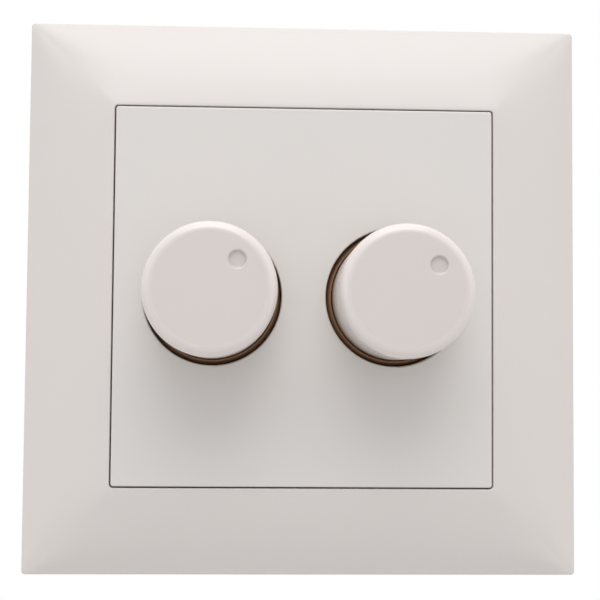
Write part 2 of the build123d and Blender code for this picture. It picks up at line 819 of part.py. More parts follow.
def choke_winding(sign):
    """The wire as one hollow ring round the core, with its two ends through the board."""
    x, y = sign * choke_centre[0], choke_centre[1]
    core_low = board_front + winding_wall
    low, top = core_low - winding_wall, core_low + choke_height + winding_wall
    body = tube(choke_d + 2 * winding_wall, choke_hole_d - 2 * winding_wall, low, top, x, y)
    body = fillet(body.edges().filter_by(GeomType.CIRCLE), winding_wall)
    hollow = tube(choke_d, choke_hole_d, core_low, core_low + choke_height, x, y)
    body -= hollow
    for i in (-1, 1):
        body += rod(lead_d, board_back - lead_tail, low + 0.6, x + i * choke_lead[0], y + choke_lead[1])
    return body


def electrolytic():
    low = board_front
    body = rod(electrolytic_d, low, low + electrolytic_height, 0, electrolytic_y)
    body = fillet(body.edges().filter_by(GeomType.CIRCLE), 0.4)
    for i in (-1, 1):
        body += rod(thin_lead_d, board_back - lead_tail, low + 0.2, i * 1.25, electrolytic_y)
    return body


def trimmer_body(sign):
    y = sign * trimmer_y
    low, top = board_front, board_front + trimmer_height
    body = slab(trimmer_side, trimmer_side, low, top, 0.4, 0, y)
    body -= rod(trimmer_rotor_d + 2 * run_gap, top - trimmer_recess, top + 1, 0, y)
    for i in (-1, 1):
        body += rod(thin_lead_d, board_back - lead_tail, low + 0.2, i * 2.5, y + sign * 2.4)
    return body


def trimmer_rotor(sign):
    y = sign * trimmer_y
    low = board_front + trimmer_height - trimmer_recess + run_gap
    top = low + trimmer_rotor_height
    body = rod(trimmer_rotor_d, low, top, 0, y)
    body -= slab(3.4, 0.7, top - 0.8, top + 1, y=y)
    body -= slab(0.7, 2.0, top - 0.8, top + 1, x=0, y=y + 0.7)
    return body


def fuse_clip_x():
    return fuse_length / 2 - fuse_cap_length / 2


def fuse_axis():
    return board_back - fuse_lift - fuse_cap_d / 2


def along_x(diameter, start, end, y, z):
    """A round bar that lies along x."""
    return Pos(start, y, z) * Rot(0, 90, 0) * extrude(Circle(diameter / 2), end - start)


def fuse():
    half = fuse_length / 2
    glass_half = half - fuse_cap_length
    body = along_x(fuse_d, -glass_half, glass_half, fuse_y, fuse_axis())
    body -= along_x(fuse_d - 1.2, -glass_half, glass_half, fuse_y, fuse_axis())
    for sign in (-1, 1):
        inner, outer = sorted((sign * glass_half, sign * half))
        body += along_x(fuse_cap_d, inner, outer, fuse_y, fuse_axis())
    return body


def fuse_clips():
    """Two sprung saddles that grip the fuse's caps, each with a foot through the board."""
    clips = []
    for sign in (-1, 1):
        x = sign * fuse_clip_x()
        saddle = along_x(fuse_cap_d + 2 * clip_sheet, x - 2, x + 2, fuse_y, fuse_axis())
        saddle -= along_x(fuse_cap_d + 0.02, x - 3, x + 3, fuse_y, fuse_axis())
        saddle &= slab(6, 10, fuse_axis() - 1.6, board_back, x=x, y=fuse_y)
        seat = slab(4, 3, fuse_axis() + fuse_cap_d / 2 + 0.1, board_back, x=x, y=fuse_y)
        foot = slab(pin_wide, pin_thick, board_back - 0.1, board_front, x=x, y=fuse_y)
        clips.append(saddle + seat + foot)
    return clips


def resistor(y):
    """An axial resistor on the wall side of the board, with its leads bent through it."""
    half = resistor_length / 2
    z = board_back - resistor_d / 2 - 0.2
    lead_x = half + 1.6
    body = along_x(resistor_d, -half, half, y, z)
    body = fillet(body.edges().filter_by(GeomType.CIRCLE), 0.5)
    body += along_x(thin_lead_d, -lead_x, lead_x, y, z)
    for sign in (-1, 1):
        body += rod(thin_lead_d + 0.1, z - thin_lead_d / 2, board_front + lead_tail, sign * lead_x, y)
    return body


def chamber_low():
    """The wall side of the space that each cage moves in."""
    return board_back - block_height + block_floor


def cage_middle():
    return (chamber_low() + board_back - block_roof) / 2


def screw_y():
    return block_low + block_deep / 2 - cage_setback


def leg_y():
    """The tongue's leg stands just behind the cage."""
    return screw_y() + cage_y / 2 + 0.2 + terminal_leg / 2


def terminal_block():
    top = board_back
    z = cage_middle()
    body = slab(pole_count * pole_pitch + 0.2, block_deep, top - block_height, top,
                y=block_low + block_deep / 2)
    for x in pole_xs:
        body -= slab(chamber_x, chamber_y, chamber_low(), top - block_roof,
                     x=x, y=block_low + block_deep / 2)
        body -= rod(terminal_head_d + 0.4, top - block_height - 1, chamber_low() + 1, x, screw_y())
        body -= slab(entry_side, 4, z - entry_side / 2, z + entry_side / 2, x=x, y=block_low)
        body -= slab(terminal_bar_thick + 0.2, terminal_leg + 0.2, top - 1, top + 1, x=x, y=leg_y())
    return body


def terminal_cages():
    cages = []
    y, z = screw_y(), cage_middle()
    low, top = z - cage_z / 2, z + cage_z / 2
    for x in pole_xs:
        cage = slab(cage_x, cage_y, low, top, 0.4, x, y)
        cage -= slab(cage_x - 2 * cage_wall, cage_y + 1, low + cage_floor, top - cage_wall, x=x, y=y)
        cage -= rod(terminal_screw_d + 0.1, low - 1, z, x, y)
        cages.append(cage)
    return cages


def terminal_screws():
    screws = []
    y = screw_y()
    seat = cage_middle() - cage_z / 2
    low = seat - terminal_head
    for x in pole_xs:
        screw = rod(terminal_head_d, low, seat, x, y)
        screw += rod(terminal_screw_d, seat, cage_middle() - 0.4, x, y)
        screw -= slab(terminal_head_d + 1, 0.7, low - 1, low + 0.7, x=x, y=y)
        screw -= slab(0.7, 2.6, low - 1, low + 0.7, x=x, y=y)
        screws.append(screw)
    return screws


def terminal_bars():
    """The tongue that each wire is pressed against, soldered into the board."""
    bars = []
    tongue_top = cage_middle() + cage_z / 2 - cage_wall
    low_y, high_y = screw_y() - 2.1, leg_y() + terminal_leg / 2
    for x in pole_xs:
        tongue = slab(terminal_bar_wide, high_y - low_y, tongue_top - terminal_bar_thick, tongue_top,
                      x=x, y=(low_y + high_y) / 2)
        leg = slab(terminal_bar_thick, terminal_leg, tongue_top, board_front, x=x, y=leg_y())
        bars.append(tongue + leg)
    return bars


def main():
    os.makedirs("parts", exist_ok=True)
    write_node("cover_frame", cover_frame())
    write_node("centre_plate", centre_plate())
    write_node("support_plate", support_plate())
    write_node("insulating_film", insulating_film())
    write_node("housing", housing())
    write_node("housing_screws", *housing_screws())
    for name, (side, pointer) in SIDES.items():
        write_node(f"{name}_knob", knob(side, pointer))
        write_node(f"{name}_knob_clip", knob_clip(side, pointer))
        write_node(f"{name}_shaft", shaft(side, pointer))
        write_node(f"{name}_shaft_ring", shaft_ring(side, pointer))
        write_node(f"{name}_seal_washer", seal_washer(side))
        write_node(f"{name}_bushing_nut", bushing_nut(side))
        write_node(f"{name}_pot_bushing", bushing(side))
        write_node(f"{name}_pot_case", pot_case(side))
        write_node(f"{name}_pot_cover", pot_cover(side))
        write_node(f"{name}_pot_track", pot_track(side))
        write_node(f"{name}_pot_pins", *pot_pins(side))
        write_node(f"{name}_pot_rotor", pot_rotor(side, pointer))
        write_node(f"{name}_pot_wiper", pot_wiper(side, pointer))
        write_node(f"{name}_switch_case", switch_case(side))
        write_node(f"{name}_switch_plunger", switch_plunger(side))
        write_node(f"{name}_switch_bridge", switch_bridge(side))
        write_node(f"{name}_switch_spring", switch_spring(side))
        write_node(f"{name}_switch_contacts", *switch_contacts(side))
    write_node("circuit_board", circuit_board())
    write_node("heat_spreader", heat_spreader())
    write_node("triacs", triac(-1), triac(1))
    write_node("triac_screws", triac_screw(-1), triac_screw(1))
    write_node("film_capacitors", film_capacitor(-1), film_capacitor(1))
    write_node("choke_cores", choke_core(-1), choke_core(1))
    write_node("choke_windings", choke_winding(-1), choke_winding(1))
    write_node("electrolytic_capacitor", electrolytic())
    write_node("trimmer_bodies", trimmer_body(-1), trimmer_body(1))
    write_node("lower_trimmer_rotor", trimmer_rotor(-1))
    write_node("upper_trimmer_rotor", trimmer_rotor(1))
    write_node("fuse", fuse())
    write_node("fuse_clips", *fuse_clips())
    write_node("resistors", *[resistor(y) for y in resistor_y])
    write_node("terminal_block", terminal_block())
    write_node("terminal_cages", *terminal_cages())
    write_node("terminal_screws", *terminal_screws())
    write_node("terminal_bars", *terminal_bars())


main()
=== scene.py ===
"""Dresses the twin rotary dimmer: its materials, its wound and soldered details, and the studio."""

import math

import bmesh
import bpy
from bpy.props import FloatProperty, FloatVectorProperty, IntProperty, PointerProperty
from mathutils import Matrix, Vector


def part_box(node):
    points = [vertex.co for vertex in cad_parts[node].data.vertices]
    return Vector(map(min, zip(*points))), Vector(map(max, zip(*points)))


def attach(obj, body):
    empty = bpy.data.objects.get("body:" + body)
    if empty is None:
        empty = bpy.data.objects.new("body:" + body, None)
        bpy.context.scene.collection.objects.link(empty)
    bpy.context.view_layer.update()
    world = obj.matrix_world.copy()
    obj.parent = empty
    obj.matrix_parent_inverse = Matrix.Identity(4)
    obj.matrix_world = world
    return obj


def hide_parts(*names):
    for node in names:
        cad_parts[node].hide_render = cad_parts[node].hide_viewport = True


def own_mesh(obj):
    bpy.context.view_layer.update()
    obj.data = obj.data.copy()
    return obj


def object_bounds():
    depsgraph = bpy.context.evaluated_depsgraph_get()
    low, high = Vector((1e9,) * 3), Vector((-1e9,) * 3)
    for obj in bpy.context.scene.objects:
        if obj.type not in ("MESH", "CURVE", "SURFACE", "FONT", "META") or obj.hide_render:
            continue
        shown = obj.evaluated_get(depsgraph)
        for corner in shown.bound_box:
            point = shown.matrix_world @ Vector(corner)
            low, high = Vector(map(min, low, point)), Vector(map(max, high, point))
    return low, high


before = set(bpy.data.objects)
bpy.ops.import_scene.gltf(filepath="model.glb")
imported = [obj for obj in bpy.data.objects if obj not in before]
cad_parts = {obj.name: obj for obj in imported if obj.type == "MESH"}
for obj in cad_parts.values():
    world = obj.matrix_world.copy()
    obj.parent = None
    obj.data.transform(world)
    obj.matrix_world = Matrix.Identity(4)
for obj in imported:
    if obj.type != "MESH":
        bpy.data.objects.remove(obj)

bl_info = {
    "name": "Twin rotary dimmer",
    "version": (1, 0, 0),
    "blender": (4, 5, 0),
    "location": "3D View > Sidebar > Dimmer",
    "description": "Materials, fine details and a studio for a flush-mounted twin rotary dimmer",
    "category": "Object",
}

SIDES = ("left", "right")
CAD_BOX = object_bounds()


# ---------------------------------------------------------------- shader maths

class Value:
    """A number that changes over a surface. Adding or multiplying two of them adds the nodes."""

    def __init__(self, shader, socket):
        self.shader = shader
        self.socket = socket

    def _math(self, operation, *others):
        inputs = {i: other for i, other in enumerate((self,) + others)}
        return self.shader.node("ShaderNodeMath", {"operation": operation}, inputs)

    def __add__(self, other):
        return self._math("ADD", other)

    def __radd__(self, other):
        return self._math("ADD", other)

    def __mul__(self, other):
        return self._math("MULTIPLY", other)

    def __rmul__(self, other):
        return self._math("MULTIPLY", other)

    def __sub__(self, other):
        return self._math("SUBTRACT", other)

    def __rsub__(self, other):
        return self.shader.node("ShaderNodeMath", {"operation": "SUBTRACT"}, {0: other, 1: self})

    def __pow__(self, other):
        return self._math("POWER", other)

    def __gt__(self, other):
        return self._math("GREATER_THAN", other)

    def sine(self):
        return self._math("SINE")

    def absolute(self):
        return self._math("ABSOLUTE")

    def clamped(self):
        return self.shader.node("ShaderNodeClamp", {}, {"Value": self})


class Tree:
    """A node tree under construction."""

    def __init__(self, tree):
        self.tree = tree
        tree.nodes.clear()

    def node(self, kind, settings, inputs, output=0):
        made = self.tree.nodes.new(kind)
        for key, value in settings.items():
            setattr(made, key, value)
        for key, value in inputs.items():
            self.put(made.inputs[key], value)
        return Value(self, made.outputs[output])

    def put(self, socket, value):
        if isinstance(value, Value):
            self.tree.links.new(value.socket, socket)
        elif hasattr(value, "links"):
            self.tree.links.new(value, socket)
        else:
            socket.default_value = value

    def plain_rays(self):
        """One for rays from the camera, straight, mirrored or through glass; zero for diffuse light."""
        seen, shiny, through = (self.node("ShaderNodeLightPath", {}, {}, f"Is {kind} Ray")
                                for kind in ("Camera", "Glossy", "Transmission"))
        return (seen + shiny + through).clamped()


class Shader(Tree):
    """One material under construction."""

    def __init__(self, name):
        self.material = bpy.data.materials.new(name)
        self.material.use_nodes = True
        super().__init__(self.material.node_tree)
        self.out = self.tree.nodes.new("ShaderNodeOutputMaterial")
        self.surface = self.tree.nodes.new("ShaderNodeBsdfPrincipled")
        self.tree.links.new(self.surface.outputs["BSDF"], self.out.inputs["Surface"])
        self.place = self.node("ShaderNodeTexCoord", {}, {}, "Object").socket

    def set(self, **sockets):
        """Sets the surface's own sockets; an underscore in a name stands for a space."""
        for key, value in sockets.items():
            self.put(self.surface.inputs[key.replace("_", " ")], value)
        return self

    def noise(self, scale, detail=3.0, roughness=0.5, stretch=(1, 1, 1)):
        place = self.node("ShaderNodeMapping", {}, {"Vector": self.place, "Scale": stretch})
        return self.node("ShaderNodeTexNoise", {}, {"Vector": place, "Scale": scale, "Detail": detail,
                                                    "Roughness": roughness})

    def axis(self, name):
        return self.node("ShaderNodeSeparateXYZ", {}, {0: self.place}, name)

    def between(self, low, high, factor):
        """A colour that runs from low to high as the factor runs from 0 to 1."""
        return self.node("ShaderNodeMix", {"data_type": "RGBA"},
                         {"Factor": factor, 6: solid(low), 7: solid(high)}, 2)

    def bump(self, height, distance):
        return self.set(Normal=self.node("ShaderNodeBump", {}, {"Height": height, "Distance": distance}))


def solid(colour):
    """A colour with its alpha; a mixed colour stays as it is."""
    return colour if isinstance(colour, Value) else tuple(colour[:3]) + (1.0,)


def tint(colour, factor):
    return tuple(min(1.0, c * factor) for c in colour[:3])


# ---------------------------------------------------------------- finishes

def moulded(name, colour, roughness, grain, depth, mottle, coat=0.0):
    """Moulded plastic: a barely uneven colour, fine tool grain, and slow sink marks in the gloss."""
    shader = Shader(name)
    slow = shader.noise(55.0, 3.0)
    fine = shader.noise(grain, 2.0, 0.6)
    sinks = shader.noise(240.0, 2.0)
    shader.set(Base_Color=shader.between(tint(colour, 1 - mottle), tint(colour, 1 + mottle), slow),
               Roughness=(slow - 0.5) * 0.10 + (fine - 0.5) * 0.08 + roughness)
    if coat:
        shader.set(Coat_Weight=coat, Coat_Roughness=0.25)
    return shader.bump(fine * 0.7 + sinks * 6.0, depth)


def metal(name, colour, roughness, stretch, scale=2200.0, depth=1.5e-6):
    """Plated, drawn or rolled metal, with fine lines along the stretch and faint clouding."""
    shader = Shader(name)
    lines = shader.noise(scale, 3.0, 0.6, stretch)
    cloud = shader.noise(180.0, 4.0)
    shader.set(Base_Color=shader.between(tint(colour, 0.90), tint(colour, 1.06), cloud), Metallic=1.0,
               Roughness=(lines - 0.5) * 0.16 + (cloud - 0.5) * 0.14 + roughness)
    return shader.bump(lines, depth)


def threaded(name, colour, roughness, pitch, low, high, depth):
    """Turned metal with a thread's ridges along Y between two heights."""
    shader = metal(name, colour, roughness, (1, 30, 1))
    y = shader.axis("Y")
    inside = (y > low) * (1.0 - (y > high))
    ridges = (y * (2 * math.pi / pitch)).sine() * 0.5 + 0.5
    return shader.bump(ridges * inside, depth)


def dress(node, shader):
    """Gives a CAD node one material in every slot that it has."""
    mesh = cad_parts[node].data
    if not mesh.materials:
        mesh.materials.append(shader.material)
    for i in range(len(mesh.materials)):
        mesh.materials[i] = shader.material


def dress_all(shader, *nodes):
    for node in nodes:
        dress(node, shader)


def both(part):
    return [f"{side}_{part}" for side in SIDES]


# ---------------------------------------------------------------- mesh helpers

def piece(name, mesh, shader, body, slot_name, *stands_for):
    """Adds one finished mesh to the model, riding on a body."""
    thing = bpy.data.objects.new(name, mesh)
    bpy.context.scene.collection.objects.link(thing)
    mesh.materials.clear()
    mesh.materials.append(shader.material)
    for polygon in mesh.polygons:
        polygon.use_smooth = True
    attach(thing, body)
    if stands_for:
        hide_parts(*stands_for)
    return thing


def tube_along(work, points, radius, sides, closed=False):
    """Sweeps a round section along points, and caps both ends unless the path is closed."""
    rings = []
    count = len(points)
    previous = None
    for i, point in enumerate(points):
        ahead = points[(i + 1) % count] if closed or i + 1 < count else point
        behind = points[i - 1] if closed or i > 0 else point
        along = (ahead - behind).normalized()
        if previous is None:
            previous = along.orthogonal().normalized()
        out = (previous - along * previous.dot(along)).normalized()
        previous = out
        up = along.cross(out)
        rings.append([work.verts.new(point + (out * math.cos(a) + up * math.sin(a)) * radius)
                      for a in (2 * math.pi * s / sides for s in range(sides))])
    last = count if closed else count - 1
    for i in range(last):
        first, second = rings[i], rings[(i + 1) % count]
        for s in range(sides):
            t = (s + 1) % sides
            work.faces.new((first[s], first[t], second[t], second[s]))
    if not closed:
        work.faces.new(list(reversed(rings[0])))
        work.faces.new(rings[-1])


def finished(work, name):
    """Turns a working mesh into a named one, with its faces all looking outwards."""
    bmesh.ops.recalc_face_normals(work, faces=work.faces)
    mesh = bpy.data.meshes.new(name)
    work.to_mesh(mesh)
    work.free()
    return mesh


def lathe(work, centre, axis, profile, sides=24, ring=False):
    """Turns a profile of (reach, height) round an axis: one that starts and ends on it, or a closed ring."""
    axis = Vector(axis).normalized()
    out = axis.orthogonal().normalized()
    up = axis.cross(out)
    rings = []
    for reach, height in profile:
        middle = Vector(centre) + axis * height
        if reach == 0:
            rings.append([work.verts.new(middle)])
        else:
            rings.append([work.verts.new(middle + (out * math.cos(a) + up * math.sin(a)) * reach)
                          for a in (2 * math.pi * s / sides for s in range(sides))])
    for first, second in zip(rings, rings[1:] + (rings[:1] if ring else [])):
        for s in range(sides):
            t = (s + 1) % sides
            corners = (first[s % len(first)], first[t % len(first)],
                       second[t % len(second)], second[s % len(second)])
            unique = list(dict.fromkeys(corners))
            if len(unique) > 2:
                work.faces.new(unique)


# ---------------------------------------------------------------- settings

class DimmerSettings(bpy.types.PropertyGroup):
    cover_colour: FloatVectorProperty(
        name="Cover frame", description="Colour of the cover frame", subtype="COLOR",
        size=3, min=0, max=1, default=(0.725, 0.683, 0.667))
    plate_colour: FloatVectorProperty(
        name="Centre plate", description="Colour of the centre plate", subtype="COLOR",
        size=3, min=0, max=1, default=(0.720, 0.697, 0.676))
    knob_colour: FloatVectorProperty(
        name="Knobs", description="Colour of the two knobs", subtype="COLOR",
        size=3, min=0, max=1, default=(0.665, 0.613, 0.596))
    # painted shade: the brown that the knobs' sides darken to near the plate, where they sink into the shaded
    # wells
    painted_foot_shade_colour: FloatVectorProperty(
        name="Knob foot shade", description="Painted shade that the knobs' sides darken to near the plate", subtype="COLOR",
        size=3, min=0, max=1, default=(0.420, 0.300, 0.200))
    left_pointer: FloatProperty(
        name="Left pointer", description="Degrees from straight up to the left knob's pointer dimple",
        default=43.0, min=-180, max=180)
    right_pointer: FloatProperty(
        name="Right pointer", description="Degrees from straight up to the right knob's pointer dimple",
        default=50.0, min=-180, max=180)
    pointer_reach: FloatProperty(
        name="Pointer reach", description="From a knob's axis to its pointer dimple", default=0.0054, min=0,
        max=0.1, unit="LENGTH", precision=4)
    knob_reach: FloatProperty(
        name="Knob reach", description="How far each knob's axis is from the middle", default=0.0133, min=0,
        max=0.1, unit="LENGTH", precision=4)
    # painted shade: the dark brown of the cups that line the wells stands in for the shade in the gap round
    # each knob
    well_shade_colour: FloatVectorProperty(
        name="Well lining shade", description="Colour of the cups that line the wells, painted shade for the gap round each knob", subtype="COLOR",
        size=3, min=0, max=1, default=(0.330, 0.187, 0.105))
    housing_colour: FloatVectorProperty(
        name="Housing", description="Colour of the housing in the wall", subtype="COLOR",
        size=3, min=0, max=1, default=(0.060, 0.060, 0.064))
    opening: FloatProperty(
        name="Opening", description="Width of the frame's opening", default=0.0556, min=0.03, max=0.1,
        unit="LENGTH", precision=4)
    frame_rim: FloatProperty(
        name="Rim height", description="Height of the frame's side walls", default=0.0044, min=0.002,
        max=0.02, unit="LENGTH", precision=4)
    crown_radius: FloatProperty(
        name="Crown radius", description="Radius of the frame's arc from opening to rim", default=0.036,
        min=0.01, max=0.2, unit="LENGTH", precision=4)
    frame_wall: FloatProperty(
        name="Frame wall", description="Thickness of the frame", default=0.002, min=0.001, max=0.004,
        unit="LENGTH", precision=4)
    corner_softness: FloatProperty(
        name="Corner softness", description="How gently two sides of the frame meet", default=0.006,
        min=0.0, max=0.02, unit="LENGTH", precision=4)
    cover_roughness: FloatProperty(
        name="Cover roughness", description="How matt the white plastic is", default=0.36, min=0.05, max=1)
    winding_turns: IntProperty(
        name="Choke turns", description="Turns of wire on each choke", default=26, min=6, max=60)
    wire_diameter: FloatProperty(
        name="Choke wire", description="Diameter of the choke's wire", default=0.00062, min=0.0002,
        max=0.0012, unit="LENGTH", precision=5)
    spring_turns: IntProperty(
        name="Spring turns", description="Turns of each switch spring", default=5, min=3, max=12)


class StageSettings(bpy.types.PropertyGroup):
    floor_drop: FloatProperty(
        name="Floor drop", description="How far the floor lies below the dimmer", default=0.10,
        min=0, max=1, unit="LENGTH")
    lens: FloatProperty(
        name="Lens", description="Focal length of the camera", default=77.48, min=20, max=300,
        unit="CAMERA")
    sky_level: FloatProperty(
        name="Sky level", description="Even light from all round", default=0.26, min=0, max=4)
    sky_rise: FloatProperty(
        name="Sky rise", description="How much brighter the sky is overhead", default=1.25, min=0, max=4)
    top_power: FloatProperty(
        name="Top lamp", description="Power of the lamp above the dimmer", default=0.50, min=0, max=100,
        unit="POWER")
    side_power: FloatProperty(
        name="Side lamps", description="Power of the lamp on each side", default=0.22, min=0, max=100,
        unit="POWER")
    key_power: FloatProperty(
        name="Key lamp", description="Power of the lamp above and before the dimmer", default=1.90, min=0,
        max=100, unit="POWER")
    front_power: FloatProperty(
        name="Front lamp", description="Power of the lamp behind the camera", default=0.14, min=0, max=100,
        unit="POWER")


# ---------------------------------------------------------------- pieces

class DIMMER_OT_cover(bpy.types.Operator):
    """Finishes the centre plate, and moulds the cover frame with its soft corners"""
    bl_idname = "dimmer.cover"
    bl_label = "Cover"

    outer_edge = 0.00025       # round between side wall and crown
    lip = 0.00015              # round where the crown drops into the opening
    outer_corner = 0.0005      # round of the square's four corners
    collar = 0.0015            # thickness of the collar round the opening
    collar_back = 0.0042       # height of the collar's rear end
    shoulder_height = 0.0060   # where the collar's walls start to follow the crown
    web_shift = 0.012          # from the middle of a side to each of its two ribs
    web_half = 0.0006          # half a rib's thickness
    round_steps, crown_steps, back_steps = 5, 28, 10

    def execute(self, context):
        settings = context.scene.dimmer
        white = moulded("cover_white", settings.cover_colour, settings.cover_roughness,
                        grain=5200.0, depth=9e-7, mottle=0.012)
        plate = moulded("plate_white", settings.plate_colour, settings.cover_roughness + 0.02,
                        grain=5200.0, depth=9e-7, mottle=0.012)
        dress("centre_plate", plate)
        low, high = (Vector(v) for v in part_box("cover_frame"))
        self.half, self.front = high.x, -low.y
        self.flat = settings.opening / 2
        self.rim, self.arc = settings.frame_rim, settings.crown_radius
        self.wall, self.soft = settings.frame_wall, settings.corner_softness
        work = bmesh.new()
        self.shell(work, self.section())
        for turn in range(4):
            for shift in (-self.web_shift, self.web_shift):
                self.web(work, turn, shift)
        frame_mesh = finished(work, "frame_shell")
        frame_mesh.set_sharp_from_angle(angle=math.radians(38))
        piece("frame_shell", frame_mesh, white, "insert", "cover_white", "cover_frame")
        return {"FINISHED"}

    def height(self, reach):
        """The crown's height above the wall at a distance from the middle, and a little beyond its edge."""
        run, fall = self.half - self.flat, self.front - self.rim
        chord = math.hypot(run, fall)
        sink = math.sqrt(self.arc ** 2 - (chord / 2) ** 2)
        centre = (self.flat + self.half) / 2 - sink * fall / chord
        base = (self.front + self.rim) / 2 - sink * run / chord
        return base + math.sqrt(self.arc ** 2 - (reach - centre) ** 2)

    def section(self):
        """The closed section of one side: (distance from the middle, height, share of the corner's fall)."""
        edge, lip = self.outer_edge, self.lip
        turn = math.atan2(self.height(self.half - 1e-4) - self.height(self.half), 1e-4)
        shoulder = self.rim - edge * math.tan(turn / 2)
        section = [(self.half, shoulder * t, t * t) for t in (0, 0.2, 0.4, 0.6, 0.8, 1.0)]
        for i in range(1, self.round_steps + 1):
            a = (math.pi / 2 - turn) * i / self.round_steps
            section.append((self.half - edge + edge * math.cos(a), shoulder + edge * math.sin(a), 1.0))
        start, end = section[-1][0], self.flat + lip * 1.1
        section += [(m, self.height(m), 1.0) for m in
                    (start + (end - start) * i / self.crown_steps for i in range(1, self.crown_steps + 1))]
        top = self.height(end)
        for i in range(1, self.round_steps + 1):
            a = math.pi / 2 * i / self.round_steps
            section.append((self.flat + lip * (1 - math.sin(a)) * 1.05, top - lip * (1 - math.cos(a)), 1.0))
        back, collar = self.collar_back, self.flat + self.collar
        inner = self.half - self.wall
        section += [(self.flat, self.shoulder_height, 0.3), (self.flat, back, 0.0), (collar, back, 0.0),
                    (collar, self.shoulder_height - 0.0005, 0.3)]
        section += [(m, self.height(m) - self.wall * 1.06, 1.0) for m in
                    (collar + (inner - collar) * i / self.back_steps for i in range(self.back_steps + 1))]
        return section + [(inner, 0.0015, 0.3), (inner, 0.0, 0.0)]

    def shell(self, work, section):
        """Carries the section round the square; the fall eases where two sides meet, so no crease is left."""
        rings = [[work.verts.new(self.place(point, m, h, share)) for point in self.path(m)]
                 for m, h, share in section]
        for first, second in zip(rings, rings[1:] + rings[:1]):
            for i in range(len(first)):
                t = (i + 1) % len(first)
                work.faces.new((first[i], first[t], second[t], second[i]))

    def path(self, reach, straight=48, bend=5):
        """Points round a square with small round corners, closer together towards the corners."""
        corner = self.outer_corner
        run = reach - corner
        points = []
        for turn in range(4):
            c, s = (1, 0, -1, 0)[turn], (0, 1, 0, -1)[turn]
            local = [(reach, run * math.sin(math.pi / 2 * (2 * i / straight - 1)))
                     for i in range(straight + 1)]
            local += [(run + corner * math.cos(a), run + corner * math.sin(a))
                      for a in (math.pi / 2 * i / bend for i in range(1, bend))]
            points += [(x * c - z * s, x * s + z * c) for x, z in local]
        return points

    def place(self, point, reach, height, share):
        """Eases the fall across the corner: wide in the middle of the crown, narrow at both its edges."""
        a, b = abs(point[0]), abs(point[1])
        big, small = max(a, b), min(a, b)
        t = max(0.0, min(1.0, (self.half - reach) / (self.half - self.flat)))
        ease = 0.0003 + self.soft * t * (1 - t * t)
        blended = big + ease * math.log1p(math.exp((small - big) / ease))
        return (point[0], -(height + (self.height(blended) - self.height(reach)) * share), point[1])

    def web(self, work, turn, shift):
        """A rib between the collar and the side wall."""
        inner, outer = self.flat + 0.0011, self.half - self.wall + 0.0004
        corners = []
        for m in (inner, outer):
            for offset in (-self.web_half, self.web_half):
                for h in (0.0017, self.height(m) - self.wall / 2):
                    x, z = m, shift + offset
                    c, s = (1, 0, -1, 0)[turn], (0, 1, 0, -1)[turn]
                    corners.append(work.verts.new((x * c - z * s, -h, x * s + z * c)))
        for face in ((0, 1, 3, 2), (4, 6, 7, 5), (0, 4, 5, 1), (2, 3, 7, 6), (0, 2, 6, 4), (1, 5, 7, 3)):
            work.faces.new([corners[i] for i in face])


class DIMMER_OT_knobs(bpy.types.Operator):
    """Finishes the knobs: glossier rims with a painted highlight, painted shade in the pointer dimples, and
    painted shade browning the sides near the plate
    """
    bl_idname = "dimmer.knobs"
    bl_label = "Knobs"

    rim_start, rim_rise = 0.0076, 1100.0     # distance from the axis where the gloss and the painted highlight set in, rise a metre
    root, root_rise = 0.0135, 220.0          # height below which painted shade browns the sides, rise a metre
    dip_shade, dip_fall = 3.1, 2200.0        # painted shade in the middle of the dimple before clamping, fall a metre

    def execute(self, context):
        settings = context.scene.dimmer
        for side, sign, pointer in zip(SIDES, (-1, 1), (settings.left_pointer, settings.right_pointer)):
            white = moulded(f"{side}_knob_white", settings.knob_colour, settings.cover_roughness + 0.02,
                            grain=6000.0, depth=7e-7, mottle=0.012, coat=1.0)
            across = white.axis("X") - sign * settings.knob_reach
            reach = (across ** 2.0 + white.axis("Z").absolute() ** 2.0) ** 0.5
            # painted highlight: towards the rim the colour lightens, besides the rim getting glossier
            rim = ((reach - self.rim_start) * self.rim_rise).clamped()
            face = white.between(tint(settings.knob_colour, 0.99), tint(settings.knob_colour, 1.01),
                                 white.noise(55.0))
            # painted shade: the knobs' sides darken towards a brown near the plate, where they sink into the
            # shaded wells
            painted_foot_shade = ((white.axis("Y") + self.root) * self.root_rise).clamped() ** 1.5
            painted_foot_shade = painted_foot_shade * (0.9 + white.noise(900.0) * 0.2)
            painted_light_face = white.between(face, tint(settings.knob_colour, 1.15), rim * (1.0 - painted_foot_shade))
            # painted shade: the middle of the pointer dimple is darkened, as the hollow would be in shade
            turn = math.radians(pointer)
            along = across - settings.pointer_reach * math.sin(turn)
            above = white.axis("Z") - settings.pointer_reach * math.cos(turn)
            away = (along ** 2.0 + above.absolute() ** 2.0) ** 0.5
            painted_light_face = white.between(painted_light_face, tint(settings.knob_colour, 0.935),
                                 (away * -self.dip_fall + self.dip_shade).clamped())
            white.set(Base_Color=white.between(painted_light_face, settings.painted_foot_shade_colour, painted_foot_shade),
                      Roughness=white.noise(6000.0) * 0.08 + 0.36 - rim * 0.14)
            dress(f"{side}_knob", white)
        return {"FINISHED"}


